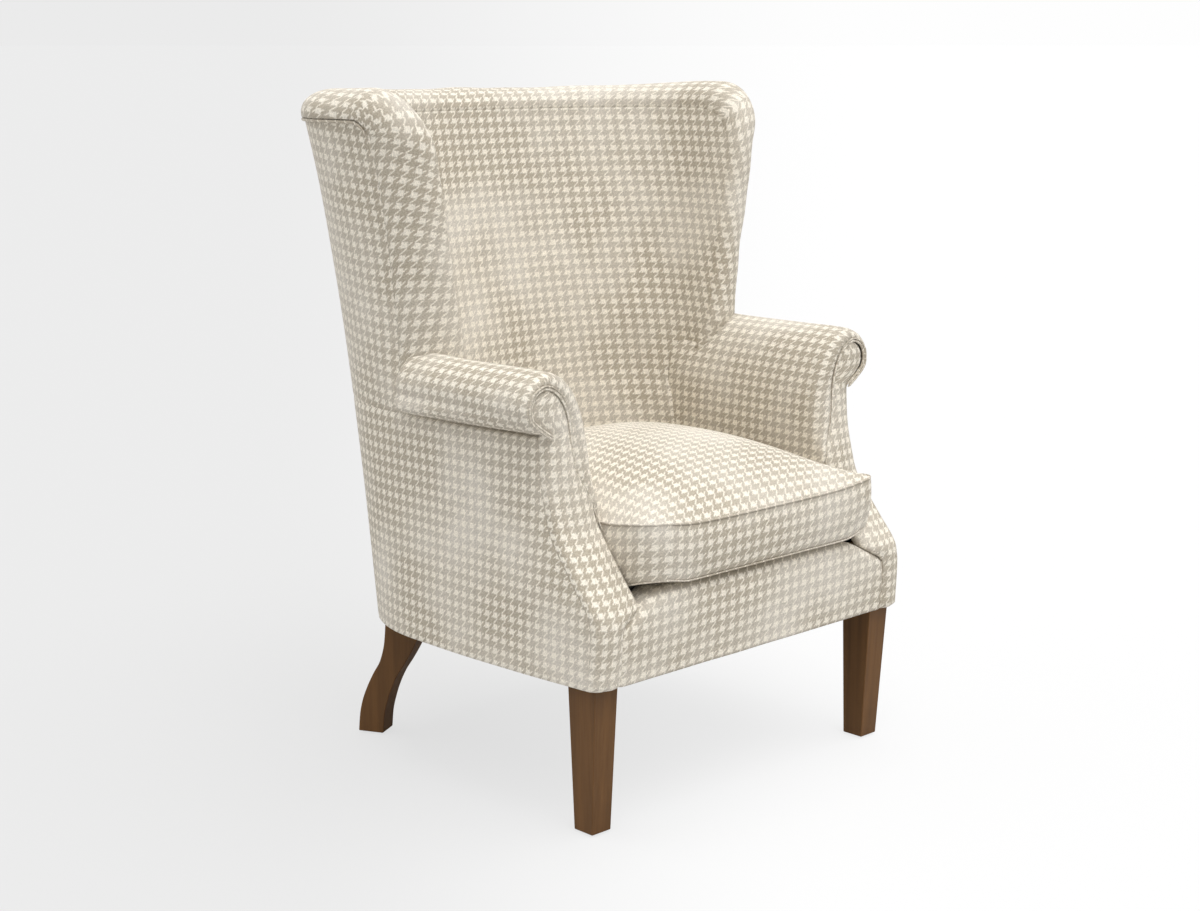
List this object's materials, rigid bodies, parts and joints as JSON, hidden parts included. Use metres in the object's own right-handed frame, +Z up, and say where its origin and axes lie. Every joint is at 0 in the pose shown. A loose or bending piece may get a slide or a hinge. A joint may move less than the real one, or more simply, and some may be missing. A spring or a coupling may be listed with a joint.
{
  "type": "wingback armchair",
  "caption": "Upholstered wingback armchair with a barrel back, rolled arms, a loose zipped seat cushion, square tapered front legs and sabre rear legs.",
  "frame": {"origin": "on the floor, at the middle of the chair's footprint box", "axes": "+Z up, -Y towards the front of the chair, +X to the right of someone who looks at its front"},
  "size_m": [0.8878, 0.7876, 1.1076],
  "materials": {
    "check_cloth": "woven houndstooth, cream on taupe, matt",
    "leg_wood": "walnut stain, satin",
    "frame_wood": "sawn, unfinished",
    "steel": "plain",
    "nylon": "matt",
    "foam": "open-cell foam",
    "black_cloth": "non-woven, matt"
  },
  "bodies": {
    "chair_frame": {"front_seat_rail": "frame_wood", "back_seat_rail": "frame_wood", "side_seat_rail_left": "frame_wood", "side_seat_rail_right": "frame_wood", "front_leg_left": "leg_wood", "front_leg_right": "leg_wood", "rear_leg_left": "leg_wood", "rear_leg_right": "leg_wood", "front_leg_bolt_left": "steel", "front_leg_bolt_right": "steel", "rear_leg_bolt_left": "steel", "rear_leg_bolt_right": "steel", "front_corner_block_left": "frame_wood", "front_corner_block_right": "frame_wood", "rear_corner_block_left": "frame_wood", "rear_corner_block_right": "frame_wood", "front_glide_left": "nylon", "front_glide_right": "nylon", "rear_glide_left": "nylon", "rear_glide_right": "nylon", "back_post_left": "frame_wood", "back_post_right": "frame_wood", "wing_post_left": "frame_wood", "wing_post_right": "frame_wood", "wing_top_rail_left": "frame_wood", "wing_top_rail_right": "frame_wood", "top_back_rail": "frame_wood", "lower_back_rail": "frame_wood", "arm_stump_left": "frame_wood", "arm_stump_right": "frame_wood", "arm_rail_left": "frame_wood", "arm_rail_right": "frame_wood", "arm_facing_left": "check_cloth", "arm_facing_right": "check_cloth", "inside_arm_left": "check_cloth", "inside_arm_right": "check_cloth", "outside_arm_left": "check_cloth", "outside_arm_right": "check_cloth", "outside_wing_left": "check_cloth", "outside_wing_right": "check_cloth", "outside_back": "check_cloth", "back_hessian": "black_cloth", "inside_back": "check_cloth", "edge_roll": "check_cloth", "front_border": "check_cloth", "seat_spring_1": "steel", "seat_spring_2": "steel", "seat_spring_3": "steel", "seat_spring_4": "steel", "seat_spring_5": "steel", "seat_deck": "black_cloth", "dust_cover": "black_cloth", "scroll_piping_left": "check_cloth", "scroll_piping_right": "check_cloth", "top_piping": "check_cloth"},
    "seat_cushion": {"cushion_cover": "check_cloth", "cushion_core": "foam", "zip_tape": "nylon"},
    "zip_slider": {"zip_slider": "steel"}
  },
  "joints": [
    {"name": "cushion_lift", "type": "slide", "parent": "chair_frame", "child": "seat_cushion", "axis": [0, 0, 1], "range_m": [0, 0.25]},
    {"name": "zip_run", "type": "slide", "parent": "seat_cushion", "child": "zip_slider", "axis": [1, 0, 0], "range_m": [0, 0.22]}
  ]
}
